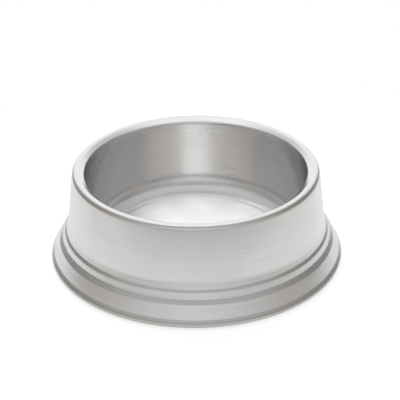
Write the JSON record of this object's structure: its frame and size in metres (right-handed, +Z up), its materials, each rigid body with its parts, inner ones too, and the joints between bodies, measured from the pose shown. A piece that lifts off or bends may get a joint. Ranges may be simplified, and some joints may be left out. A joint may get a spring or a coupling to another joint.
{
  "type": "pet food bowl",
  "caption": "Round double-wall steel pet food bowl with a rolled rim, a stepped and flared foot, a closed base and a pull-off rubber non-skid ring.",
  "frame": {"origin": "on the bowl's axis, on the ground under the rubber ring", "axes": "+Z up along the axis of the bowl; +X and +Y are free, as every piece is round about Z"},
  "size_m": [0.2, 0.2, 0.0655],
  "materials": {
    "shell_steel": "satin, brushed round the axis",
    "bowl_steel": "satin, brushed round the axis",
    "weld_steel": "as welded",
    "plate_steel": "plain rolled",
    "ring_rubber": "matte moulded"
  },
  "bodies": {
    "bowl": {"outer_shell": "shell_steel", "inner_bowl": "bowl_steel", "rim_weld": "weld_steel", "base_plate": "plate_steel"},
    "ring": {"non_skid_ring": "ring_rubber"}
  },
  "joints": [
    {"name": "ring_pull_off", "type": "slide", "parent": "bowl", "child": "ring", "axis": [0, 0, -1], "range_m": [0, 0.012]}
  ]
}
